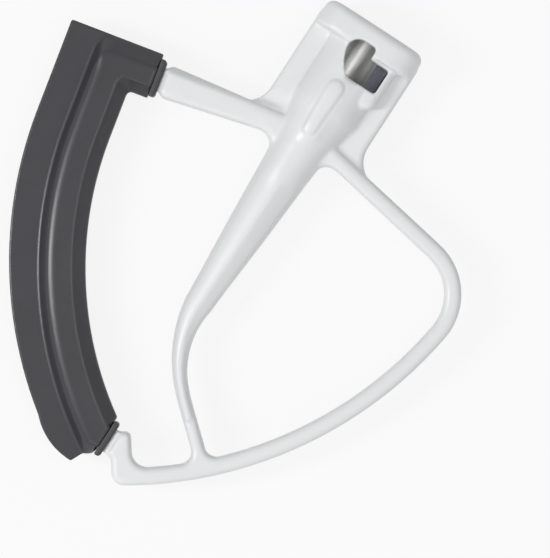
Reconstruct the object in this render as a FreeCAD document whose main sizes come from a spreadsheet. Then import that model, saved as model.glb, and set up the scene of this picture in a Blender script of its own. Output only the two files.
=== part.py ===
import FreeCAD, Part
import math
import os
import Sketcher
from FreeCAD import Placement, Rotation, Vector

# Flex edge beater for a stand mixer: a flat, coated die casting with a soft
# wiping edge on one side.
# Frame: the hub's top face lies at y = 0, the shaft axis is the Y axis and the
# beater hangs along -Y. It lies flat, with Z square to its plane, its pin
# window on the +Z side and its soft edge on the -X side.

doc = FreeCAD.newDocument("FlexEdgeBeater")

# Driving sizes, millimetres and degrees
SIZES = [
    # hub
    ("hub_width", 36.6),
    ("hub_depth", 24.0),
    ("hub_corner", 6.0),
    ("collar_height", 9.0),
    ("collar_inset", 0.4),
    ("collar_round", 3.0),
    ("wing_thick", 5.6),
    ("wing_round", 1.0),
    ("wing_flare", 9.0),
    ("wing_reach", 12.0),
    ("barrel_dia", 23.6),
    ("barrel_length", 31.0),
    ("rib_width", 6.0),
    ("rib_length", 21.0),
    ("rib_proud", 0.35),
    ("rib_middle", 31.5),
    ("rib_offset", 0.5),
    ("rib_lean_angle", 5.0),
    ("rib_slope_angle", 3.5),
    # bore, keyway and pin window
    ("bore_dia", 12.9),
    ("bore_depth", 29.0),
    ("boss_proud", 1.1),
    ("keyway_width", 5.4),
    ("keyway_wall", 2.2),
    ("boss_depth", 18.4),
    ("boss_drop", 6.0),
    ("boss_round", 2.5),
    ("boss_corner", 3.5),
    ("window_top", 6.1),
    ("window_floor", 18.7),
    ("window_left", 4.9),
    ("window_lip", 3.9),
    ("window_side", 14.0),
    ("window_step", 3.9),
    ("window_notch", 3.7),
    ("window_round", 1.3),
    # arms and loop
    ("frame_thick", 10.0),
    ("frame_round", 2.1),
    ("left_arm_level", 41.1),
    ("left_arm_slope", 12.0),
    ("left_arm_root", 6.6),
    ("left_arm_tip", 11.0),
    ("left_arm_tip_round", 2.4),
    ("right_arm_level", 40.3),
    ("right_arm_slope", 10.1),
    ("loop_width", 5.5),
    ("loop_reach", 76.5),
    ("loop_corner", 21.5),
    ("curve_drop", 23.4),
    ("joint_round", 5.0),
    # central spine and its brace to the loop
    ("spine_root_level", 50.0),
    ("spine_root_width", 17.2),
    ("spine_root_depth", 19.0),
    ("spine_waist_width", 9.3),
    ("spine_waist_depth", 10.4),
    ("spine_bend", 37.0),
    ("brace_width", 4.5),
    ("brace_depth", 8.6),
    ("brace_angle", 41.5),
    ("brace_foot_angle", 46.0),
    ("brace_web", 14.0),
    ("brace_round", 4.0),
    # foot that carries the lower end of the soft edge
    ("foot_level", 157.2),
    ("foot_height", 8.2),
    ("foot_thick", 8.0),
    ("foot_stub", 1.2),
    ("foot_rise", 2.0),
    ("hook_width", 10.8),
    ("hook_bump", 2.8),
    ("hook_heel", 2.2),
    ("hook_toe", 7.2),
    ("toe_level", 168.8),
    ("toe_round", 4.0),
    # soft edge and its stiff core
    ("arm_reach", 50.2),
    ("neck_height", 8.0),
    ("neck_gap", 0.7),
    ("tongue_size", 3.6),
    ("tongue_length", 4.0),
    ("collar_thick", 2.0),
    ("collar_tall", 12.4),
    ("collar_deep", 11.2),
    ("collar_edge", 0.6),
    ("core_size", 6.0),
    ("core_inset", 3.3),
    ("bead_reach", 58.8),
    ("bead_radius", 116.2),
    ("bead_thick", 12.0),
    ("bead_above", 7.9),
    ("bead_below", 7.1),
    ("bead_inner_slope", 3.8),
    ("bead_top_slope", 5.2),
    ("bead_face", 8.2),
    ("bead_bend", 6.0),
    ("bead_inner_bend", 1.5),
    ("bead_outer_slope", 2.9),
    ("bead_low_slope", 3.8),
    ("bead_foot_drop", 6.9),
    ("bead_foot_lean", 3.0),
    ("bead_foot_slope", 2.9),
    ("fin_width", 10.1),
    ("fin_thick", 2.4),
    ("fin_radius", 134.2),
    ("fin_end_angle", 54.5),
    ("fin_toe_radius", 22.0),
    ("fin_toe_reach", 5.0),
    ("fin_toe_drop", 12.3),
]

sheet = doc.addObject("Spreadsheet::Sheet", "Sizes")
for row, (alias, value) in enumerate(SIZES, start=1):
    sheet.set(f"A{row}", alias)
    sheet.set(f"B{row}", str(value))
    sheet.setAlias(f"B{row}", alias)
doc.recompute()


def number(formula):
    """Value of a formula over the sheet."""
    return float(sheet.evalExpression(formula))


def size(alias):
    """Value of one size."""
    return number("Sizes." + alias)


def plane_of(body, role):
    for feature in body.Origin.OriginFeatures:
        if feature.Role == role:
            return feature


def bind(feature, **formulas):
    """Tie properties of a feature to formulas over the sheet."""
    for name, formula in formulas.items():
        feature.setExpression(name, formula)


def arc_between(start, end, radius):
    """Minor arc from start to end; a positive radius bulges to the left of the way."""
    chord = end - start
    middle = (start + end) * 0.5
    left = Vector(-chord.y, chord.x, 0).normalize()
    rise = abs(radius) - math.sqrt(radius ** 2 - (chord.Length / 2) ** 2)
    return Part.Arc(start, middle + left * math.copysign(rise, radius), end)


def outline(body, name, corners, arcs=None, role="XY_Plane", level=None):
    """Closed outline through corners of (x, y) formulas on a plane of the body.

    arcs gives the edges that are arcs: {corner where it starts: (radius formula, side)}.
    """
    arcs = arcs or {}
    sketch = body.newObject("Sketcher::SketchObject", name)
    sketch.AttachmentSupport = (plane_of(body, role), "")
    sketch.MapMode = "FlatFace"
    if level:
        sketch.setExpression("AttachmentOffset.Base.z", level)
    points = [Vector(number(x), number(y), 0) for x, y in corners]
    starts = []
    for index, start in enumerate(points):
        end = points[(index + 1) % len(points)]
        if index in arcs:
            radius, side = arcs[index]
            edge = sketch.addGeometry(arc_between(start, end, side * number(radius)), False)
        else:
            edge = sketch.addGeometry(Part.LineSegment(start, end), False)
        first = 1 if sketch.getPoint(edge, 1).distanceToPoint(start) < 1e-6 else 2
        starts.append(first)
    for index, first in enumerate(starts):
        following = (index + 1) % len(points)
        sketch.addConstraint(Sketcher.Constraint("Coincident", index, 3 - first, following, starts[following]))
    for index, (x, y) in enumerate(corners):
        for axis, formula in (("X", x), ("Y", y)):
            at = points[index].x if axis == "X" else points[index].y
            place = sketch.addConstraint(Sketcher.Constraint("Distance" + axis, index, starts[index], at))
            sketch.setExpression(f"Constraints[{place}]", formula)
        if index in arcs:
            radius = sketch.addConstraint(Sketcher.Constraint("Radius", index, number(arcs[index][0])))
            sketch.setExpression(f"Constraints[{radius}]", arcs[index][0])
    return sketch


def pad(body, name, sketch, length, midplane=True):
    feature = body.newObject("PartDesign::Pad", name)
    feature.Profile = sketch
    feature.Midplane = midplane
    bind(feature, Length=length)
    doc.recompute()
    return feature


def rounded(body, name, base, edges, radius, kind="Fillet"):
    """Fillet or chamfer of the base's edges that the test picks."""
    picked = [f"Edge{i + 1}" for i, edge in enumerate(base.Shape.Edges) if edges(edge)]
    feature = body.newObject("PartDesign::" + kind, name)
    feature.Base = (base, picked)
    bind(feature, **{"Radius" if kind == "Fillet" else "Size": radius})
    doc.recompute()
    return feature


def upright_at(*corners):
    """Test for edges along Z that stand over one of the corners."""
    spots = [Vector(number(x), number(y), 0) for x, y in corners]

    def test(edge):
        box = edge.BoundBox
        if max(box.XLength, box.YLength) > 1e-4:
            return False
        return any(Vector(box.Center.x, box.Center.y, 0).distanceToPoint(s) < 0.01 for s in spots)
    return test


def rim(half):
    """Test for edges that lie in the faces at z = half and z = -half."""
    def test(edge):
        box = edge.BoundBox
        return box.ZLength < 1e-4 and abs(abs(box.Center.z) - number(half)) < 1e-3
    return test


# Points of the plan. Along the left arm: "along" runs outwards from the hub
# axis on the arm's own centre line, "above" is square to it.
def left(along, above):
    x = f"-({along}) * cos(Sizes.left_arm_slope) - ({above}) * sin(Sizes.left_arm_slope)"
    y = (f"-Sizes.left_arm_level - ({along}) * sin(Sizes.left_arm_slope)"
         f" + ({above}) * cos(Sizes.left_arm_slope)")
    return x, y


def right(along, above):
    x = f"({along}) * cos(Sizes.right_arm_slope) + ({above}) * sin(Sizes.right_arm_slope)"
    y = (f"-Sizes.right_arm_level - ({along}) * sin(Sizes.right_arm_slope)"
         f" + ({above}) * cos(Sizes.right_arm_slope)")
    return x, y


# The soft edge curves round one centre, the loop round another. Both are
# straight down to curve_drop below their arm. The loop's outer side then meets
# the toe of the foot, which gives its radius.
EDGE_X, EDGE_Y = left("Sizes.bead_reach - Sizes.bead_radius", "-Sizes.curve_drop")
TOE_X = "(Sizes.foot_stub + Sizes.hook_toe)"
TOE_DROP = "(Sizes.toe_level - Sizes.right_arm_level)"
TOE_SIDE = (f"(Sizes.loop_reach - {TOE_X} * cos(Sizes.right_arm_slope)"
            f" - {TOE_DROP} * sin(Sizes.right_arm_slope))")
TOE_DEPTH = (f"({TOE_DROP} * cos(Sizes.right_arm_slope) - {TOE_X} * sin(Sizes.right_arm_slope)"
             f" - Sizes.curve_drop)")
LOOP_OUTER = f"(({TOE_SIDE}^2 + {TOE_DEPTH}^2) / (2 * {TOE_SIDE}))"
LOOP_INNER = f"({LOOP_OUTER} - Sizes.loop_width)"
LOOP_X, LOOP_Y = right(f"Sizes.loop_reach - {LOOP_OUTER}", "-Sizes.curve_drop")


def on_edge(radius, x):
    """Point of the soft edge's circle of this radius at x, on its lower side."""
    return x, f"{EDGE_Y} - sqrt(({radius})^2 - (({x}) - ({EDGE_X}))^2)"


def on_loop(radius, x):
    return x, f"{LOOP_Y} - sqrt(({radius})^2 - (({x}) - ({LOOP_X}))^2)"


def at_loop(radius, angle):
    """Point of the loop's circle at an angle below the horizontal."""
    return f"{LOOP_X} + ({radius}) * cos({angle})", f"{LOOP_Y} - ({radius}) * sin({angle})"


def across_loop(radius, above):
    """Where the loop's circle crosses a line beside the right arm's centre line."""
    along = (f"Sizes.loop_reach - {LOOP_OUTER}"
             f" + sqrt(({radius})^2 - (({above}) + Sizes.curve_drop)^2)")
    return right(along, above)


# Frame of the casting: both arms, the loop, the rail and the foot
frame = doc.addObject("PartDesign::Body", "frame")
ARM_END = "Sizes.arm_reach - Sizes.neck_gap"
HALF = "Sizes.loop_width / 2"
STUB = "(Sizes.spine_root_width / 2 - 0.6)"
BRACE_SPREAD = f"asin((Sizes.brace_width / 2 - 0.1) / {LOOP_INNER}) / 1 deg"
brace_left = at_loop(LOOP_INNER, f"Sizes.brace_foot_angle + {BRACE_SPREAD}")
brace_right = at_loop(LOOP_INNER, f"Sizes.brace_foot_angle - {BRACE_SPREAD}")


def up_brace(point):
    return (f"{point[0]} - Sizes.brace_web * cos(Sizes.brace_angle)",
            f"{point[1]} + Sizes.brace_web * sin(Sizes.brace_angle)")


tip_top = left(ARM_END, "Sizes.left_arm_tip / 2")
tip_low = left(ARM_END, "-Sizes.left_arm_tip / 2")
apex = ("0", "-Sizes.left_arm_level + Sizes.left_arm_root / 2")
loop_top = across_loop(LOOP_OUTER, HALF)
toe = (TOE_X, "-Sizes.toe_level")
heel = ("Sizes.foot_stub + Sizes.hook_heel", "-Sizes.foot_level - Sizes.foot_height / 2 - 0.6")
stub_low = ("Sizes.foot_stub", "-Sizes.foot_level - Sizes.foot_height / 2")
stub_top = ("Sizes.foot_stub", "-Sizes.foot_level + Sizes.foot_height / 2")
bump = ("Sizes.foot_stub + Sizes.hook_bump",
        "-Sizes.foot_level + Sizes.foot_height / 2 + Sizes.foot_rise")
crook = on_loop(LOOP_INNER, "Sizes.hook_width")
loop_under = across_loop(LOOP_INNER, f"-{HALF}")
crotch_right = (STUB, f"-Sizes.right_arm_level - {HALF} - {STUB} * sin(Sizes.right_arm_slope)")
crotch_left = (f"-{STUB}", "-Sizes.left_arm_level - Sizes.left_arm_root / 2"
               f" - {STUB} * sin(Sizes.left_arm_slope)")
FORK = "-Sizes.spine_root_level - 5"

corners = [tip_top, apex, loop_top, toe, heel, stub_low, stub_top, bump, crook, brace_left,
           up_brace(brace_left), up_brace(brace_right), brace_right, loop_under,
           crotch_right, (STUB, FORK), (f"-{STUB}", FORK), crotch_left, tip_low]
bends = {2: (LOOP_OUTER, 1), 8: (LOOP_INNER, -1), 12: (LOOP_INNER, -1)}
plan = outline(frame, "frame_plan", corners, bends)
slab = pad(frame, "frame_slab", plan, "Sizes.frame_thick")
step = rounded(frame, "loop_outer_corner", slab, upright_at(loop_top), "Sizes.loop_corner")
step = rounded(frame, "loop_inner_corner", step, upright_at(loop_under),
               "Sizes.loop_corner - Sizes.loop_width")
step = rounded(frame, "tip_corners", step, upright_at(tip_top, tip_low), "Sizes.left_arm_tip_round")
step = rounded(frame, "toe_corner", step, upright_at(toe), "Sizes.toe_round")
step = rounded(frame, "crook_corner", step, upright_at(crook), "Sizes.joint_round")
step = rounded(frame, "brace_corners", step, upright_at(brace_left, brace_right), "Sizes.brace_round")
step = rounded(frame, "crotch_corners", step, upright_at(crotch_left, crotch_right), "Sizes.joint_round")
step = rounded(frame, "bump_corner", step, upright_at(bump), "Sizes.foot_rise")
step = rounded(frame, "frame_edges", step, rim("Sizes.frame_thick / 2"), "Sizes.frame_round")

# Necks that carry the soft edge: a square neck up to the core's collar and a
# tongue that goes on into the core
def block(body, name, ends, wide, deep):
    """Bar along the line between two points, wide in the plan and deep along Z."""
    (x0, y0), (x1, y1) = ends
    first = Vector(number(x0), number(y0), 0)
    last = Vector(number(x1), number(y1), 0)
    bar = body.newObject("PartDesign::AdditiveBox", name)
    bar.AttachmentSupport = (plane_of(body, "XY_Plane"), "")
    bar.MapMode = "FlatFace"
    turn = math.degrees(math.atan2(last.y - first.y, last.x - first.x))
    bar.AttachmentOffset = Placement(Vector(), Rotation(Vector(0, 0, 1), turn))
    c, s = math.cos(math.radians(turn)), math.sin(math.radians(turn))
    bind(bar, Length=f"sqrt(({x1} - ({x0}))^2 + ({y1} - ({y0}))^2)", Width=wide, Height=deep)
    bar.setExpression("AttachmentOffset.Base.x", f"{x0} + {s} * ({wide}) / 2")
    bar.setExpression("AttachmentOffset.Base.y", f"{y0} - {c} * ({wide}) / 2")
    bar.setExpression("AttachmentOffset.Base.z", f"-({deep}) / 2")
    doc.recompute()
    return bar


FOOT = "-Sizes.foot_level"
block(frame, "arm_neck", (left(ARM_END + " - 4", "0"), left("Sizes.arm_reach", "0")),
      "Sizes.neck_height", "Sizes.foot_thick")
block(frame, "arm_tongue", (left(ARM_END + " - 4", "0"),
                            left("Sizes.arm_reach + Sizes.tongue_length", "0")),
      "Sizes.tongue_size", "Sizes.tongue_size")
block(frame, "foot_neck", (("Sizes.foot_stub + 4", FOOT), ("0", FOOT)),
      "Sizes.foot_height", "Sizes.foot_thick")
block(frame, "foot_tongue", (("Sizes.foot_stub + 4", FOOT), ("-Sizes.tongue_length", FOOT)),
      "Sizes.tongue_size", "Sizes.tongue_size")

# Hub: a thick collar over two thin wings that flare into the arms
hub = doc.addObject("PartDesign::Body", "hub")
X = "Sizes.hub_width / 2"
Z = "Sizes.hub_depth / 2"
SIDE = "(Sizes.hub_width / 2 - Sizes.collar_inset)"
collar_plan = outline(hub, "collar_plan", [
    (f"-{SIDE}", f"-{Z}"), (SIDE, f"-{Z}"), (SIDE, Z), (f"-{SIDE}", Z)], role="XZ_Plane")
collar = pad(hub, "collar", collar_plan, "Sizes.collar_height", midplane=False)


def along_shaft(edge):
    box = edge.BoundBox
    return max(box.XLength, box.ZLength) < 1e-4


def at_level(level):
    def test(edge):
        box = edge.BoundBox
        return box.YLength < 1e-4 and abs(box.Center.y - number(level)) < 1e-3
    return test


collar = rounded(hub, "collar_corners", collar, along_shaft, "Sizes.hub_corner")
collar = rounded(hub, "collar_top_edge", collar, at_level("0"), "Sizes.collar_round")
collar = rounded(hub, "collar_low_edge", collar, at_level("-Sizes.collar_height"), "Sizes.collar_inset",
                 "Chamfer")

wings = doc.addObject("PartDesign::Body", "wings")
REACH = "(Sizes.hub_width / 2 + Sizes.wing_reach)"


def on_left_arm(x, above):
    return f"-({x})", f"-Sizes.left_arm_level - ({x}) * tan(Sizes.left_arm_slope) + {above}"


def on_right_arm(x, above):
    return x, f"-Sizes.right_arm_level - ({x}) * tan(Sizes.right_arm_slope) + {above}"


flare_left = on_left_arm(X, "Sizes.left_arm_root / 2")
flare_right = on_right_arm(X, "Sizes.loop_width / 2 - 0.5")
wing_plan = outline(wings, "wing_plan", [
    (f"-{X}", "-Sizes.collar_height / 2"), flare_left,
    on_left_arm(REACH, "Sizes.left_arm_root / 2"), on_left_arm(REACH, "-1"),
    ("0", "-Sizes.left_arm_level - 2"), on_right_arm(REACH, "-1"),
    on_right_arm(REACH, "Sizes.loop_width / 2 - 0.5"),
    flare_right, (X, "-Sizes.collar_height / 2")])
wing = pad(wings, "wing", wing_plan, "Sizes.wing_thick")
wing = rounded(wings, "wing_flares", wing, upright_at(flare_left, flare_right), "Sizes.wing_flare")


def wing_side(edge):
    box = edge.BoundBox
    flat = box.ZLength < 1e-4 and abs(abs(box.Center.z) - size("wing_thick") / 2) < 1e-3
    return flat and box.XLength < 1e-4 and abs(box.Center.x) > size("hub_width") / 2 - 0.01


wing = rounded(wings, "wing_edges", wing, wing_side, "Sizes.wing_round", "Chamfer")

# Barrel round the bore, with a wall beside the keyway and a long rib on its face
barrel = doc.addObject("PartDesign::Body", "barrel")
tube = barrel.newObject("PartDesign::AdditiveCylinder", "tube")
tube.AttachmentSupport = (plane_of(barrel, "XZ_Plane"), "")
tube.MapMode = "FlatFace"
bind(tube, Radius="Sizes.barrel_dia / 2", Height="Sizes.barrel_length - Sizes.collar_height / 2")
tube.setExpression("AttachmentOffset.Base.z", "Sizes.collar_height / 2")
doc.recompute()
boss = doc.addObject("PartDesign::Body", "boss")
boss_block = boss.newObject("PartDesign::AdditiveBox", "boss_block")
BOSS = "(Sizes.barrel_dia / 2 + Sizes.boss_proud)"
KEYWAY = f"({BOSS} - Sizes.keyway_wall)"
bind(boss_block, Length=f"{BOSS} / 2", Height="Sizes.boss_depth",
     Width="Sizes.window_floor + Sizes.boss_drop - Sizes.collar_height / 2")
boss_block.AttachmentSupport = (plane_of(boss, "XY_Plane"), "")
boss_block.MapMode = "FlatFace"
boss_block.setExpression("AttachmentOffset.Base.x", f"{BOSS} / 2")
boss_block.setExpression("AttachmentOffset.Base.y", "-Sizes.window_floor - Sizes.boss_drop")
boss_block.setExpression("AttachmentOffset.Base.z", "-Sizes.boss_depth / 2")
doc.recompute()
boss_block = rounded(boss, "boss_corner", boss_block, upright_at((BOSS, "-Sizes.window_floor - Sizes.boss_drop")),
                     "Sizes.boss_corner")


def boss_side(edge):
    box = edge.BoundBox
    return max(box.XLength, box.ZLength) < 1e-4 and abs(box.Center.x - number(BOSS)) < 1e-3


rounded(boss, "boss_edges", boss_block, boss_side, "Sizes.boss_round")

rib = doc.addObject("PartDesign::Body", "rib")
RIB = "Sizes.rib_width / 2"
RIB_END = f"(Sizes.rib_length / 2 - {RIB})"
rib_plan = outline(rib, "rib_plan", [
    (RIB, RIB_END), (f"-{RIB}", RIB_END), (f"-{RIB}", f"-{RIB_END}"), (RIB, f"-{RIB_END}")],
    {0: (f"{RIB} * 1.0001", -1), 2: (f"{RIB} * 1.0001", -1)})
pad(rib, "rib_pad", rib_plan, "Sizes.barrel_dia / 2 + Sizes.rib_proud", midplane=False)
bind(rib, **{"Placement.Base.x": "-Sizes.rib_offset", "Placement.Base.y": "-Sizes.rib_middle"})
rib.Placement.Rotation = Rotation(size("rib_lean_angle"), 0, size("rib_slope_angle"))

# Spine: one tapering form from the barrel to the foot of the loop, round at the
# hub and flatter lower down, where it bends into the brace
def oval(wide, deep, at, turn):
    """Oval wire, wide in the plan and deep along Z, square to a way turned in the plan."""
    stretch = FreeCAD.Matrix()
    stretch.scale(wide / 2, 1, deep / 2)
    halves = [Part.makeCircle(1, Vector(), Vector(0, 1, 0), start, start + 180) for start in (0, 180)]
    ring = Part.Wire(halves).transformGeometry(stretch)
    ring.Placement = Placement(at, Rotation(Vector(0, 0, 1), turn))
    return ring


def between(first, last, part):
    return first + (last - first) * part


brace = Vector(*[number(f) for f in at_loop(LOOP_INNER, "Sizes.brace_foot_angle")], 0)
lean = size("brace_angle")
down_brace = Vector(math.cos(math.radians(lean)), -math.sin(math.radians(lean)), 0)
knee = Vector(0, brace.y - down_brace.y / down_brace.x * brace.x, 0)
turn = 90 - lean
tangent = size("spine_bend") * math.tan(math.radians(turn / 2))
bend_top = knee + Vector(0, tangent, 0)
centre = bend_top + Vector(size("spine_bend"), 0, 0)

ovals = [oval(size("barrel_dia"), size("barrel_dia"), Vector(0, -size("barrel_length"), 0), 0)]
root = -size("spine_root_level")
for part in (0, 0.33, 0.66, 1):
    ovals.append(oval(between(size("spine_root_width"), size("spine_waist_width"), part),
                      between(size("spine_root_depth"), size("spine_waist_depth"), part),
                      Vector(0, between(root, bend_top.y, part), 0), 0))
for part in (0.25, 0.5, 0.75, 1):
    angle = math.radians(turn * part)
    at = centre - Vector(math.cos(angle), math.sin(angle), 0) * size("spine_bend")
    ovals.append(oval(between(size("brace_width"), size("spine_waist_width"), (1 - part) ** 2),
                      between(size("brace_depth"), size("spine_waist_depth"), (1 - part) ** 2),
                      at, math.degrees(angle)))
bend_end = knee + down_brace * tangent
for at in ((bend_end + brace) * 0.5, brace + down_brace * 2):
    ovals.append(oval(size("brace_width"), size("brace_depth"), at, turn))
spine = doc.addObject("Part::Feature", "spine")
shaft = Part.makeLoft(ovals[:5], True, False)
spine.Shape = shaft.fuse(Part.makeLoft(ovals[4:], True, False))

# Bore, keyway and the window where the mixer's pin turns into its seat
cavity = doc.addObject("PartDesign::Body", "cavity")
bore = cavity.newObject("PartDesign::AdditiveCylinder", "bore")
bore.AttachmentSupport = (plane_of(cavity, "XZ_Plane"), "")
bore.MapMode = "FlatFace"
bind(bore, Radius="Sizes.bore_dia / 2", Height="Sizes.bore_depth + 1")
bore.setExpression("AttachmentOffset.Base.z", "-1")
doc.recompute()
keyway = cavity.newObject("PartDesign::AdditiveBox", "keyway")
keyway.AttachmentSupport = (plane_of(cavity, "XY_Plane"), "")
keyway.MapMode = "FlatFace"
bind(keyway, Length=KEYWAY, Width="Sizes.window_floor + 1", Height="Sizes.keyway_width")
keyway.setExpression("AttachmentOffset.Base.y", "-Sizes.window_floor")
keyway.setExpression("AttachmentOffset.Base.z", "-Sizes.keyway_width / 2")
doc.recompute()
window_plan = outline(cavity, "window_plan", [
    (KEYWAY, "-Sizes.window_floor"),
    (KEYWAY, "-Sizes.window_top - Sizes.window_step"),
    ("Sizes.window_notch", "-Sizes.window_top - Sizes.window_step"),
    ("Sizes.window_notch", "-Sizes.window_top - Sizes.window_round"),
    ("Sizes.window_notch - Sizes.window_round", "-Sizes.window_top"),
    ("-Sizes.window_left + Sizes.window_lip", "-Sizes.window_top"),
    ("-Sizes.window_left", "-Sizes.window_top - Sizes.window_lip"),
    ("0", "-Sizes.window_floor")],
    {3: ("Sizes.window_round", -1), 5: ("Sizes.window_lip * 1.01", -1), 6: ("Sizes.window_side", -1)})
window = pad(cavity, "window", window_plan, "Sizes.hub_depth", midplane=False)

solid_casting = hub
for piece in (wings, barrel, boss, rib, spine, frame):
    joined = doc.addObject("Part::Fuse", "with_" + piece.Label)
    joined.Base = solid_casting
    joined.Tool = piece
    doc.recompute()
    solid_casting = joined
casting = doc.addObject("Part::Cut", "casting")
casting.Base = solid_casting
casting.Tool = cavity
casting.Label = "beater_casting"
doc.recompute()


# Stiff core of the soft edge: a square rod that follows the edge's bend, with a
# collar at each end that shows between the soft edge and the casting
core = doc.addObject("PartDesign::Body", "core")
COLLAR_BACK = "Sizes.arm_reach + Sizes.collar_thick"
ROD_NEAR = "(Sizes.bead_radius + Sizes.core_inset)"
ROD_FAR = "(Sizes.bead_radius + Sizes.core_inset + Sizes.core_size)"
ROD_REACH = "(Sizes.bead_reach + Sizes.core_inset)"
ROD = "Sizes.core_size / 2"
FOOT_BACK = "-Sizes.collar_thick"
DROP = "-Sizes.curve_drop"
rod_plan = outline(core, "rod_plan", [
    left(COLLAR_BACK, ROD), left(f"{ROD_REACH} + Sizes.core_size", ROD),
    left(f"{ROD_REACH} + Sizes.core_size", DROP),
    on_edge(ROD_FAR, FOOT_BACK), on_edge(ROD_NEAR, FOOT_BACK),
    left(ROD_REACH, DROP), left(ROD_REACH, f"-{ROD}"), left(COLLAR_BACK, f"-{ROD}")],
    {2: (ROD_FAR, -1), 4: (ROD_NEAR, 1)})
pad(core, "rod", rod_plan, "Sizes.core_size")
block(core, "arm_collar", (left("Sizes.arm_reach", "0"), left(COLLAR_BACK, "0")),
      "Sizes.collar_tall", "Sizes.collar_deep")
collars = block(core, "foot_collar", (("0", FOOT), (FOOT_BACK, FOOT)),
                "Sizes.collar_tall", "Sizes.collar_deep")


def collar_front(edge):
    """Outer edges of the collars' faces that meet the casting."""
    middle = edge.CenterOfMass
    x, y = (number(f) for f in left("Sizes.arm_reach", "0"))
    slope = math.radians(size("left_arm_slope"))
    ahead = (middle.x - x) * math.cos(slope) + (middle.y - y) * math.sin(slope)
    return edge.Length > 1 and (abs(ahead) < 1e-3 or abs(middle.x) < 1e-3)


rounded(core, "collar_edges", collars, collar_front, "Sizes.collar_edge", "Chamfer")

edge_core = doc.addObject("Part::Cut", "edge_core")
edge_core.Base = core
edge_core.Tool = casting

# Soft edge: a raised bead over the core, sloping to its front and back faces,
# and a thin fin that wipes the bowl
soft = doc.addObject("PartDesign::Body", "soft")
BEAD_END = COLLAR_BACK
FACE_NEAR = "(Sizes.bead_reach + Sizes.bead_inner_slope)"
FACE_FAR = f"({FACE_NEAR} + Sizes.bead_face)"
ROOT = f"({FACE_FAR} + Sizes.bead_outer_slope)"
TO_RADIUS = " + Sizes.bead_radius - Sizes.bead_reach"


def bead_section(name, near, far, top, under, bends, foot, level):
    """L-shaped outline of the bead at one level of its slopes."""
    bend, inner_bend = bends
    foot_level, foot_lean = foot
    return outline(soft, name, [
        left(BEAD_END, top), left(f"{far} - {bend}", top), left(far, f"{top} - {bend}"), left(far, DROP),
        on_edge(far + TO_RADIUS, f"{FOOT_BACK} - {foot_lean}"),
        (FOOT_BACK, foot_level),
        on_edge(near + TO_RADIUS, FOOT_BACK),
        left(near, DROP), left(near, f"{under} - {inner_bend}"), left(f"{near} - {inner_bend}", under),
        left(BEAD_END, under)],
        {1: (bend, -1), 3: (far + TO_RADIUS, -1), 6: (near + TO_RADIUS, 1), 8: (inner_bend, 1)},
        level=level)


BASE = ("Sizes.bead_reach", ROOT, "Sizes.bead_above", "-Sizes.bead_below",
        ("Sizes.bead_bend", "Sizes.bead_inner_bend"),
        ("-Sizes.foot_level - Sizes.bead_foot_drop", "Sizes.bead_foot_lean"))
FACE = (FACE_NEAR, FACE_FAR, "Sizes.bead_above - Sizes.bead_top_slope",
        "-Sizes.bead_below + Sizes.bead_low_slope",
        ("(Sizes.bead_bend / 2)", "(Sizes.bead_inner_bend * 2)"),
        ("-Sizes.foot_level - Sizes.bead_foot_drop + Sizes.bead_foot_slope",
         "(Sizes.bead_foot_lean + 2)"))
levels = [("bead_back", FACE, "-Sizes.bead_thick / 2"), ("bead_low", BASE, "-Sizes.fin_thick / 2"),
          ("bead_high", BASE, "Sizes.fin_thick / 2"), ("bead_front", FACE, "Sizes.bead_thick / 2")]
sections = [bead_section(name, *shape, level) for name, shape, level in levels]
bead = soft.newObject("PartDesign::AdditiveLoft", "bead")
bead.Profile = sections[0]
bead.Sections = sections[1:]
bead.Ruled = True
doc.recompute()

FIN_EDGE = f"({ROOT} + Sizes.fin_width)"
INSIDE = f"({ROOT} - Sizes.bead_bend)"
FIN_X, FIN_Y = left(f"{FIN_EDGE} - Sizes.fin_radius", DROP)
fin_end = (f"{FIN_X} - Sizes.fin_radius * cos(Sizes.fin_end_angle)",
           f"{FIN_Y} - Sizes.fin_radius * sin(Sizes.fin_end_angle)")
fin_toe = (f"{FOOT_BACK} - Sizes.fin_toe_reach", "-Sizes.foot_level - Sizes.fin_toe_drop")
fin_plan = outline(soft, "fin_plan", [
    left(INSIDE, "Sizes.bead_above"), left(FIN_EDGE, "Sizes.bead_above"), left(FIN_EDGE, DROP),
    fin_end, fin_toe, (f"{FOOT_BACK} - Sizes.bead_foot_lean", "-Sizes.foot_level - 8"),
    on_edge(INSIDE + TO_RADIUS, f"{FOOT_BACK} - 4"), left(INSIDE, DROP)],
    {2: ("Sizes.fin_radius", -1), 3: ("Sizes.fin_toe_radius", -1), 6: (INSIDE + TO_RADIUS, 1)})
fin = pad(soft, "fin", fin_plan, "Sizes.fin_thick")

flex_edge = doc.addObject("Part::Cut", "flex_edge")
flex_edge.Base = soft
flex_edge.Tool = core
doc.recompute()

nodes = [casting, edge_core, flex_edge]
failed = [item.Label for item in doc.Objects if "Invalid" in item.State or "Error" in item.State]
failed += [item.Label for item in nodes if item.Shape.isNull() or not item.Shape.isValid()]
if failed:
    raise RuntimeError("These objects have no valid shape: " + ", ".join(failed))
os.makedirs("parts", exist_ok=True)
for item in nodes:
    item.Shape.exportStep(f"parts/{item.Label}.step")
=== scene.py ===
import math

import bmesh
import bpy
from mathutils import Matrix, Vector


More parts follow.
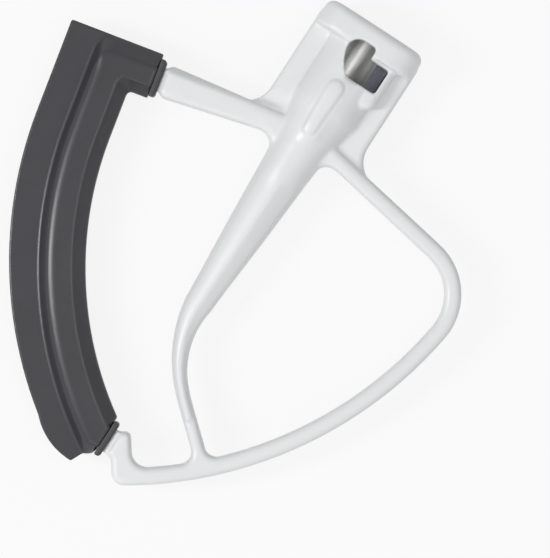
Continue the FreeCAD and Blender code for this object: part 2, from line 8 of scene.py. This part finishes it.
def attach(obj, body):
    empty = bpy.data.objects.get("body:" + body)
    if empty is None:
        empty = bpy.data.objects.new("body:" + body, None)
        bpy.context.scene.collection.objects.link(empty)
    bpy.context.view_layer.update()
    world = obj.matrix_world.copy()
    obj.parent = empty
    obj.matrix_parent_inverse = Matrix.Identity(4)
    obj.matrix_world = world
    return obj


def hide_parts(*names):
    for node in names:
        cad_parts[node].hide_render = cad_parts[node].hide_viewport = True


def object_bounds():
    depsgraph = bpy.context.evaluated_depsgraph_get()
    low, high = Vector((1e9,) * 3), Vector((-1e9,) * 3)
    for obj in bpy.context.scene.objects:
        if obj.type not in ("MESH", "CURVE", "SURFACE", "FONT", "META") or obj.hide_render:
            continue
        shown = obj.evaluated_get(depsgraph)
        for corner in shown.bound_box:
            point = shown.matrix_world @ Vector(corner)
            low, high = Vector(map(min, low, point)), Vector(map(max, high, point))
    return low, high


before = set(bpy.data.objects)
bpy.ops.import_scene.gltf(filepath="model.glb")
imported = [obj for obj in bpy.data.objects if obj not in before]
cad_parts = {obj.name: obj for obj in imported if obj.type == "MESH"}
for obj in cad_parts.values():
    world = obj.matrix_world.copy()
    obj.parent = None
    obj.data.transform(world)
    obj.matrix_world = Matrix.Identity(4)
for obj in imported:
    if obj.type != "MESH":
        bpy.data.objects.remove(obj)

cad_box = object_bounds()


# Casting: hub, arms, loop, spine and foot of a stand mixer's beater in one
# die-cast aluminium piece, blasted and coated all over with pale grey nylon
# powder. The coat rounds every edge and fills the corners between the forms.
COAT_COLOUR, COAT_SHADE = "E6E7E7", "DFE0E2"
CASTING_TRIANGLES = 180000

# Sizes and places are in mm. A fade is the place where a form has no effect
# yet and the place where it has all of it. A stretch is the two places between
# which it has all of it, and the width of the fades outside them.
COAT_VOXEL = 0.42
COAT_ROUNDS = 5
BAR_HALF = 5

# Fillets where hub, arms and spine meet
BLEND_ROUNDS = 30
BLEND_SIDE_FADE = (26, 18)
BLEND_TOP_FADE = (-22.5, -28.5)
BLEND_LOW_FADE = (-62, -52)

# Collar: soft low edge, left alone beside the pin window, and bowed faces
COLLAR_ROUNDS = 45
COLLAR_EDGE_STRETCH = (-10.4, -8.2, 1.2)
COLLAR_SIDE_FADE = (17.8, 16.4)
COLLAR_FACE_FADE = (1, 2)
WINDOW_MIDDLE = 3
WINDOW_FADE = (7.5, 9)
HUB_HALF = 12
BOW, BOW_START = 0.02, 5
BOW_ALONG_FADE = (-22, -11)
BOW_FACE_FADE = (2.8, 7)

# Rib on the barrel: smoothed away, then drawn again as a tapering ridge
RIB_ROUNDS = 260
RIB_ACROSS_STRETCH = (-5.2, 3.8, 1.5)
RIB_ALONG_STRETCH = (-44, -19.5, 1.5)
RIB_FACE_FADE = (6, 8)
RIB_MIDDLE = -0.7
RIB_TOP, RIB_BOTTOM = -21.0, -41.2
RIB_TOP_WIDTH, RIB_BOTTOM_WIDTH = 5.8, 4.2
RIB_PROUD, RIB_FLANK_FADE = 0.4, (0.5, -0.9)
RIB_GROOVE, RIB_GROOVE_STRETCH = 0.12, (0.3, 0.5, 0.9)

# Spine: crest and feet of its faces as shares of the half width, and how much
# of the way each side goes from round to flat
CREST, CREST_LEFT, CREST_RIGHT = 0.14, -0.75, 0.82
FLAT_LEFT, FLAT_RIGHT = 0.35, 0.65
SPINE_DEEP = 1.1
SPINE_RIM = 0.15
SPINE_TOP_FADE = (-54, -62)
SPINE_LOW_FADE = (-124, -112)
SPINE_SIDE_FADE = (13, 12)

# Brace: where it leaves the spine
BRACE_ROUNDS = 14
BRACE_X, BRACE_Y = 17.2, -138
BRACE_FADE = (6, 2.5)

# Left arm: line of its upper side, the roll over it, and the trough in the web
ARM_LINE = 35.6
ARM_SLOPE = math.radians(12.2)
ARM_ROLL, ARM_EDGE = 2.8, 1.0
ARM_INNER_FADE, ARM_OUTER_FADE = (-17, -21), (-62, -52)
WEB_HALF, WEB_REACH, TROUGH = 2.8, 7, 1.0
WEB_INNER_FADE, WEB_OUTER_FADE = (-9, -16), (-27, -20)
TROUGH_FALL, TROUGH_RISE = (-6, -1), (-1, 2.8)


def linear(code):
    """Linear colour of an sRGB hex value."""
    values = [int(code[i:i + 2], 16) / 255 for i in (0, 2, 4)]
    return (*[v / 12.92 if v <= 0.04045 else ((v + 0.055) / 1.055) ** 2.4 for v in values], 1.0)


def add_node(tree, kind, settings=None, links=None, values=None):
    """Adds a node with its settings, its incoming links and its socket values."""
    node = tree.nodes.new(kind)
    for name, value in (settings or {}).items():
        setattr(node, name, value)
    for name, value in (values or {}).items():
        node.inputs[name].default_value = value
    for name, source in (links or {}).items():
        tree.links.new(source, node.inputs[name])
    return node


def new_material(name):
    """Material with an empty node tree, and that tree."""
    material = bpy.data.materials.new(name)
    material.use_nodes = True
    material.node_tree.nodes.clear()
    return material, material.node_tree


def own_place(tree):
    """Place on the piece itself."""
    return add_node(tree, "ShaderNodeTexCoord").outputs["Object"]


def noise(tree, size, detail, roughness=0.5):
    """Pattern from 0 to 1 whose lumps are about size mm wide."""
    node = add_node(tree, "ShaderNodeTexNoise", {}, {"Vector": own_place(tree)},
                    {"Scale": 1000 / size, "Detail": detail, "Roughness": roughness})
    return node.outputs["Fac"]


def tinted(tree, pattern, first, second):
    """Colour that a pattern takes from one hex value to another."""
    node = add_node(tree, "ShaderNodeMix", {"data_type": "RGBA"}, {"Factor": pattern})
    node.inputs["A"].default_value = linear(first)
    node.inputs["B"].default_value = linear(second)
    return node.outputs["Result"]


def ranged(tree, pattern, low, high):
    """Value that a pattern takes from low to high."""
    node = add_node(tree, "ShaderNodeMapRange", {}, {"Value": pattern}, {"To Min": low, "To Max": high})
    return node.outputs["Result"]


def relief(tree, pattern, strength, depth):
    """Normals of a pattern that is depth mm deep."""
    node = add_node(tree, "ShaderNodeBump", {}, {"Height": pattern},
                    {"Strength": strength, "Distance": depth / 1000})
    return node.outputs["Normal"]


def shaded(tree, links, values):
    """Surface shader of a material, and its output."""
    shader = add_node(tree, "ShaderNodeBsdfPrincipled", {}, links, values)
    add_node(tree, "ShaderNodeOutputMaterial", {}, {"Surface": shader.outputs["BSDF"]})


def merged_copy(node_name, piece_name):
    """Copy of a CAD node's mesh with its loose triangles joined."""
    mesh = bmesh.new()
    mesh.from_mesh(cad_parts[node_name].data)
    bmesh.ops.remove_doubles(mesh, verts=mesh.verts, dist=1e-6)
    data = bpy.data.meshes.new(piece_name)
    mesh.to_mesh(data)
    mesh.free()
    piece = bpy.data.objects.new(piece_name, data)
    bpy.context.scene.collection.objects.link(piece)
    return piece


def applied(piece):
    """Turns what a piece's modifiers make into its mesh."""
    bpy.context.view_layer.update()
    shaped = bpy.data.meshes.new_from_object(piece.evaluated_get(bpy.context.evaluated_depsgraph_get()))
    piece.modifiers.clear()
    piece.data = shaped


def gridded(piece, voxel):
    """Makes a solid's skin one even net, joined through its inner corners."""
    grid = piece.modifiers.new("grid", "REMESH")
    grid.mode = "VOXEL"
    grid.voxel_size = voxel / 1000
    grid.use_smooth_shade = True
    applied(piece)


def eased(piece, rounds, group=""):
    """Rounds edges and inner corners, as a coat or a mould does."""
    ease = piece.modifiers.new("ease", "SMOOTH")
    ease.factor = 0.5
    ease.iterations = rounds
    ease.vertex_group = group
    applied(piece)


def thinned(piece, triangles):
    """Brings a piece down to a number of triangles."""
    thin = piece.modifiers.new("thin", "DECIMATE")
    thin.ratio = min(1.0, triangles / (2 * len(piece.data.polygons)))
    applied(piece)


def fade(value, start, end):
    """Runs smoothly from 0 at start to 1 at end."""
    share = max(0.0, min(1.0, (value - start) / (end - start)))
    return share * share * (3 - 2 * share)


def stretch(value, low, high, edge):
    """1 between low and high, falling to 0 over the edge outside them."""
    return fade(value, low - edge, low) * fade(value, high + edge, high)


def weighted(piece, name, weight):
    """Vertex group whose weights follow from the place of each vertex."""
    group = piece.vertex_groups.new(name=name)
    for vertex in piece.data.vertices:
        share = weight(*(1000 * vertex.co))
        if share > 0:
            group.add([vertex.index], share, "REPLACE")
    return name


def rib_height(x, y):
    """How far the rib stands up, below 0 in the shallow groove around it."""
    middle = max(RIB_BOTTOM + RIB_BOTTOM_WIDTH / 2, min(RIB_TOP - RIB_TOP_WIDTH / 2, y))
    share = (middle - RIB_BOTTOM) / (RIB_TOP - RIB_BOTTOM)
    width = RIB_BOTTOM_WIDTH + (RIB_TOP_WIDTH - RIB_BOTTOM_WIDTH) * share
    outside = math.hypot(x - RIB_MIDDLE, y - middle) - width / 2
    return RIB_PROUD * fade(outside, *RIB_FLANK_FADE) - RIB_GROOVE * stretch(outside, *RIB_GROOVE_STRETCH)


def crest_lift(normal):
    """Share by which the crested section is higher or lower than a round one."""
    across = normal.x / math.hypot(normal.x, SPINE_DEEP * normal.z)
    foot, flat = (CREST_RIGHT, FLAT_RIGHT) if across > CREST else (CREST_LEFT, FLAT_LEFT)
    share = (across - CREST) / (foot - CREST)
    if share >= 1:
        return 0.0
    top = math.sqrt(1 - CREST * CREST)
    chord = top + share * (math.sqrt(1 - foot * foot) - top)
    return flat * (chord / math.sqrt(1 - across * across) - 1)


def arm_cut(x, y, z):
    """What the left arm's roll or the web's trough takes off the thickness."""
    depth = (-ARM_LINE + math.tan(ARM_SLOPE) * x - y) * math.cos(ARM_SLOPE)
    if not -WEB_REACH < depth < ARM_ROLL:
        return 0.0
    share = max(0.0, depth) / ARM_ROLL
    rolled = ARM_EDGE + (BAR_HALF - ARM_EDGE) * (2 * share - share * share)
    floor = (WEB_HALF - TROUGH * fade(depth, *TROUGH_FALL)
             + (BAR_HALF - WEB_HALF + TROUGH) * fade(depth, *TROUGH_RISE))
    on_arm = fade(x, *ARM_INNER_FADE) * fade(x, *ARM_OUTER_FADE)
    on_web = fade(x, *WEB_INNER_FADE) * fade(x, *WEB_OUTER_FADE)
    return max(0.0, (abs(z) - rolled) * on_arm, (abs(z) - floor) * on_web)


casting = merged_copy("beater_casting", "coated_casting")
gridded(casting, COAT_VOXEL)

# The hub runs into the arms and the spine through wide fillets, and the
# collar's low edge into the webs. The spine's end runs into the brace without
# a step, and the rib is smoothed away to be drawn anew.
eased(casting, BLEND_ROUNDS, weighted(casting, "blend", lambda x, y, z: (
    fade(abs(x), *BLEND_SIDE_FADE) * fade(y, *BLEND_TOP_FADE) * fade(y, *BLEND_LOW_FADE))))
eased(casting, COLLAR_ROUNDS, weighted(casting, "collar", lambda x, y, z: (
    stretch(y, *COLLAR_EDGE_STRETCH) * fade(abs(x), *COLLAR_SIDE_FADE)
    * fade(abs(x - WINDOW_MIDDLE), *WINDOW_FADE) * fade(abs(z), *COLLAR_FACE_FADE))))
eased(casting, RIB_ROUNDS, weighted(casting, "rib", lambda x, y, z: (
    stretch(x, *RIB_ACROSS_STRETCH) * stretch(y, *RIB_ALONG_STRETCH) * fade(z, *RIB_FACE_FADE))))
eased(casting, BRACE_ROUNDS, weighted(casting, "brace", lambda x, y, z: (
    fade(math.hypot(x - BRACE_X, y - BRACE_Y), *BRACE_FADE))))

# The normals are read first, because each one read after a move is worked out anew
normals = [vertex.normal.copy() for vertex in casting.data.vertices]
for vertex, normal in zip(casting.data.vertices, normals):
    x, y, z = 1000 * vertex.co

    # Rib, on the side with the pin window alone
    if z > RIB_FACE_FADE[0]:
        vertex.co += normal * rib_height(x, y) / 1000

    # Spine: front and back each run up to a soft crest right of the middle
    along = fade(y, *SPINE_TOP_FADE) * fade(y, *SPINE_LOW_FADE) * fade(abs(x), *SPINE_SIDE_FADE)
    if along > 0 and abs(normal.z) > SPINE_RIM:
        vertex.co.z *= 1 + along * crest_lift(normal)

    # Collar: its broad faces bow down towards both ends
    bow = BOW * max(0.0, abs(x) - BOW_START) ** 2 / HUB_HALF
    vertex.co.z *= 1 - bow * fade(y, *BOW_ALONG_FADE) * fade(abs(z), *BOW_FACE_FADE)

    # Left arm: its upper side rolls over to a thin edge, and the web dips to
    # a trough beside it
    vertex.co.z -= math.copysign(arm_cut(x, y, z), z) / 1000
eased(casting, COAT_ROUNDS)
thinned(casting, CASTING_TRIANGLES)

# Nylon powder coat: pale grey, smooth and half glossy, with a faint orange
# peel from the melt, drawn at about its real size
COAT_ROUGHNESS = (0.30, 0.38)
COAT_CLOUD = 35
PEEL_SIZE, PEEL_STRENGTH, PEEL_DEPTH = 1.1, 0.12, 0.1
coat, tree = new_material("nylon_powder_coat")
cloud = noise(tree, COAT_CLOUD, 3.0)
peel = noise(tree, PEEL_SIZE, 2.0, 0.4)
shaded(tree, {"Base Color": tinted(tree, cloud, COAT_COLOUR, COAT_SHADE),
              "Roughness": ranged(tree, cloud, *COAT_ROUGHNESS),
              "Normal": relief(tree, peel, PEEL_STRENGTH, PEEL_DEPTH)}, {"IOR": 1.5})

# Reamed aluminium: bright bare wall of the bore, cut after coating, with fine
# rings that are drawn coarser than real, so that a pixel can show them
BORE_COLOUR = "D2D2D0"
BORE_ROUGHNESS = (0.28, 0.38)
BORE_MOTTLE = 3
RING_PITCH, RING_STRENGTH, RING_DEPTH = 0.5, 0.2, 0.05
bare, tree = new_material("reamed_aluminium")
rings = add_node(tree, "ShaderNodeTexWave", {"bands_direction": "Y", "wave_profile": "SAW"},
                 {"Vector": own_place(tree)}, {"Scale": 1000 / RING_PITCH, "Distortion": 0.6})
mottle = noise(tree, BORE_MOTTLE, 4.0)
shaded(tree, {"Roughness": ranged(tree, mottle, *BORE_ROUGHNESS),
              "Normal": relief(tree, rings.outputs["Fac"], RING_STRENGTH, RING_DEPTH)},
       {"Base Color": linear(BORE_COLOUR), "Metallic": 1.0})

# Cast aluminium: dull skin of the die, left bare in the keyway, with painted shade: its dark bluish grey
# stands in for the shade down in that deep slot
KEYWAY_SHADE_DARK, KEYWAY_SHADE_LIGHT = "6C6D75", "82838C"
SKIN_GRAIN, SKIN_STRENGTH, SKIN_DEPTH = 0.8, 0.4, 0.12
cast, tree = new_material("cast_aluminium_painted_shade")
skin = noise(tree, SKIN_GRAIN, 3.0)
shaded(tree, {"Base Color": tinted(tree, skin, KEYWAY_SHADE_DARK, KEYWAY_SHADE_LIGHT),
              "Normal": relief(tree, skin, SKIN_STRENGTH, SKIN_DEPTH)},
       {"Metallic": 1.0, "Roughness": 0.55})

# The bore's wall and the keyway are bare, up to their rounded mouth. The keyway takes the cast finish,
# whose dark colour is painted shade
BORE_RADIUS, BORE_DEPTH = 6.45, 29
KEYWAY_REACH, KEYWAY_DEPTH, KEYWAY_HALF = 10.7, 18.7, 2.7
MOUTH_ROUND = 0.6
SLACK, FLOOR_SLACK = 0.3, 1.0
casting.data.materials.clear()
for finish in (coat, bare, cast):
    casting.data.materials.append(finish)
for face in casting.data.polygons:
    x, y, z = 1000 * face.center
    in_bore = math.hypot(x, z) < BORE_RADIUS + SLACK and -BORE_DEPTH - FLOOR_SLACK < y < -MOUTH_ROUND
    in_keyway = (0 < x < KEYWAY_REACH + SLACK and abs(z) < KEYWAY_HALF + SLACK
                 and -KEYWAY_DEPTH - SLACK < y < -MOUTH_ROUND)
    face.material_index = 1 if in_bore else 2 if in_keyway else 0
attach(casting, "root")
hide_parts("beater_casting")


# Core: stiff rod of glass-filled nylon, moulded, pushed onto the casting's two
# tongues. Only its square collars show, as dark rings beside the soft edge.
CORE_VOXEL = 0.3
CORE_ROUNDS = 3
CORE_TRIANGLES = 60000
core = merged_copy("edge_core", "edge_core_collars")
gridded(core, CORE_VOXEL)
eased(core, CORE_ROUNDS)
thinned(core, CORE_TRIANGLES)

# Glass-filled nylon: matt charcoal, a little rough where the fibres lie near
# the skin, drawn coarser than real
NYLON_DARK, NYLON_LIGHT = "333335", "414042"
FIBRE_SIZE, FIBRE_STRENGTH, FIBRE_DEPTH = 0.6, 0.25, 0.08
nylon, tree = new_material("glass_filled_nylon")
fibre = noise(tree, FIBRE_SIZE, 3.0)
shaded(tree, {"Base Color": tinted(tree, fibre, NYLON_DARK, NYLON_LIGHT),
              "Normal": relief(tree, fibre, FIBRE_STRENGTH, FIBRE_DEPTH)},
       {"Roughness": 0.5, "IOR": 1.53})
core.data.materials.clear()
core.data.materials.append(nylon)
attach(core, "root")
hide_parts("edge_core")


# Soft edge: bead and wiping fin of dark grey thermoplastic rubber, moulded over
# the core in a spark-eroded mould, which gives it a fine even grain.
SOFT_VOXEL = 0.38
SOFT_ROUNDS = 8
SOFT_TRIANGLES = 150000

# The bead's crown is rounder than its other edges. It runs along an arc, and
# the rounding starts below the square upper end.
CROWN_ROUNDS = 120
CROWN_X, CROWN_Y, CROWN_RADIUS = 61, -52, 128.2
CROWN_STRETCH = (CROWN_RADIUS - 1.5, CROWN_RADIUS + 1.2, 1.2)
CROWN_TOP_FADE = (-50, -60)
soft_edge = merged_copy("flex_edge", "soft_edge")
gridded(soft_edge, SOFT_VOXEL)
eased(soft_edge, CROWN_ROUNDS, weighted(soft_edge, "crown", lambda x, y, z: (
    stretch(math.hypot(x - CROWN_X, y - CROWN_Y), *CROWN_STRETCH) * fade(y, *CROWN_TOP_FADE))))
eased(soft_edge, SOFT_ROUNDS)
thinned(soft_edge, SOFT_TRIANGLES)

# Thermoplastic rubber: dark grey with a cool cast and a satin sheen. Its grain
# is drawn coarser than real.
RUBBER_DARK, RUBBER_LIGHT = "2F2E33", "38373C"
RUBBER_ROUGHNESS = (0.28, 0.33)
RUBBER_CLOUD = 18
GRAIN_SIZE, GRAIN_STRENGTH, GRAIN_DEPTH = 0.5, 0.25, 0.06
rubber, tree = new_material("thermoplastic_rubber")
cloud = noise(tree, RUBBER_CLOUD, 4.0, 0.6)
grain = noise(tree, GRAIN_SIZE, 2.0)
shaded(tree, {"Base Color": tinted(tree, cloud, RUBBER_DARK, RUBBER_LIGHT),
              "Roughness": ranged(tree, cloud, *RUBBER_ROUGHNESS),
              "Normal": relief(tree, grain, GRAIN_STRENGTH, GRAIN_DEPTH)}, {"IOR": 1.5})
soft_edge.data.materials.clear()
soft_edge.data.materials.append(rubber)
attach(soft_edge, "root")
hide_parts("flex_edge")


# Studio: white sweep under the beater, which lies flat on it, lit by a soft box
# nearly overhead, one low on the left and a narrow one from the left side, in
# a pale room that is brightest overhead. Sizes from here on are in metres.
VIEW_TURN = math.radians(33)
VIEW_CENTRE = Vector((0.01618, -0.08514, 0))
VIEW_HEIGHT = 1.6
PHOTO_PIXELS, PIXEL_SIZE = 550, 0.00032
FLOOR_GAP = 0.0004
FLOOR_HALF = 3.0
PAPER_COLOUR, PAPER_GLOW = "DCDCDC", 0.86

sweep = bpy.data.meshes.new("sweep")
mesh = bmesh.new()
bmesh.ops.create_grid(mesh, x_segments=1, y_segments=1, size=FLOOR_HALF)
bmesh.ops.translate(mesh, verts=mesh.verts, vec=(VIEW_CENTRE.x, VIEW_CENTRE.y, cad_box[0][2] - FLOOR_GAP))
mesh.to_mesh(sweep)
mesh.free()
floor = bpy.data.objects.new("floor", sweep)
bpy.context.scene.collection.objects.link(floor)


def seen_in(tree):
    """1 for what the camera, a reflection or a clear piece shows, 0 for soft light."""
    ray = add_node(tree, "ShaderNodeLightPath")
    seen = ray.outputs["Is Camera Ray"]
    for kind in ("Is Glossy Ray", "Is Transmission Ray"):
        most = add_node(tree, "ShaderNodeMath", {"operation": "MAXIMUM"}, {0: seen, 1: ray.outputs[kind]})
        seen = most.outputs[0]
    return seen


# White paper: even white to the eye, with the beater's faint shadow left on it
paper, tree = new_material("white_paper")
lift = add_node(tree, "ShaderNodeMath", {"operation": "MULTIPLY"}, {0: seen_in(tree)}, {1: PAPER_GLOW})
matt = add_node(tree, "ShaderNodeBsdfDiffuse", {}, {}, {"Color": linear(PAPER_COLOUR)})
white = add_node(tree, "ShaderNodeEmission", {}, {}, {"Color": (1, 1, 1, 1), "Strength": 1.0})
both = add_node(tree, "ShaderNodeMixShader", {},
                {"Fac": lift.outputs[0], 1: matt.outputs[0], 2: white.outputs[0]})
add_node(tree, "ShaderNodeOutputMaterial", {}, {"Surface": both.outputs[0]})
floor.data.materials.append(paper)


def soft_box(name, place, wide, tall, power):
    """Area lamp that faces the middle of the view, its place in the view's own axes."""
    data = bpy.data.lights.new(name, "AREA")
    data.shape = "RECTANGLE"
    data.size = wide
    data.size_y = tall
    data.energy = power
    lamp = bpy.data.objects.new(name, data)
    spot = Matrix.Rotation(VIEW_TURN, 4, "Z") @ Vector(place)
    lamp.location = spot + VIEW_CENTRE
    lamp.rotation_euler = (-spot).to_track_quat("-Z", "Y").to_euler()
    lamp.visible_camera = False
    bpy.context.scene.collection.objects.link(lamp)


soft_box("top", (0.20, -0.03, 1.16), 0.25, 0.25, 0.8)
soft_box("front", (-0.45, -0.85, 0.8), 0.5, 0.5, 1.3)
soft_box("side", (-0.72, 0.04, 0.8), 0.12, 0.45, 4.6)

# The room is brightest overhead, leaning to the view's lower edge, and has one
# even pale tone where it is seen directly, in a reflection or through a piece
ROOM_LEAN = Vector((0.12, -0.45, 1))
ROOM_RANGE = {"From Min": -0.1, "From Max": 0.8, "To Min": 0.2, "To Max": 0.68}
ROOM_SEEN = 0.85
world = bpy.data.worlds.new("room")
bpy.context.scene.world = world
world.use_nodes = True
tree = world.node_tree
way = add_node(tree, "ShaderNodeTexCoord")
height = add_node(tree, "ShaderNodeVectorMath", {"operation": "DOT_PRODUCT"}, {0: way.outputs["Generated"]},
                  {1: Matrix.Rotation(VIEW_TURN, 3, "Z") @ ROOM_LEAN})
dome = add_node(tree, "ShaderNodeMapRange", {}, {"Value": height.outputs["Value"]}, ROOM_RANGE)
shown = add_node(tree, "ShaderNodeMix", {}, {"Factor": seen_in(tree), "A": dome.outputs["Result"]},
                 {"B": ROOM_SEEN})
tree.links.new(shown.outputs["Result"], tree.nodes["Background"].inputs["Strength"])
tree.nodes["Background"].inputs["Color"].default_value = (1, 1, 1, 1)

# Camera: square above the beater, turned as the photo is
SENSOR = 36
lens = bpy.data.cameras.new("camera")
lens.sensor_fit = "HORIZONTAL"
lens.sensor_width = SENSOR
lens.lens = SENSOR * VIEW_HEIGHT / (PHOTO_PIXELS * PIXEL_SIZE)
lens.clip_end = 20
camera = bpy.data.objects.new("camera", lens)
camera.location = VIEW_CENTRE + Vector((0, 0, VIEW_HEIGHT))
camera.rotation_euler = (0, 0, VIEW_TURN)
bpy.context.scene.collection.objects.link(camera)
bpy.context.scene.camera = camera
bpy.context.scene.view_settings.view_transform = "Standard"
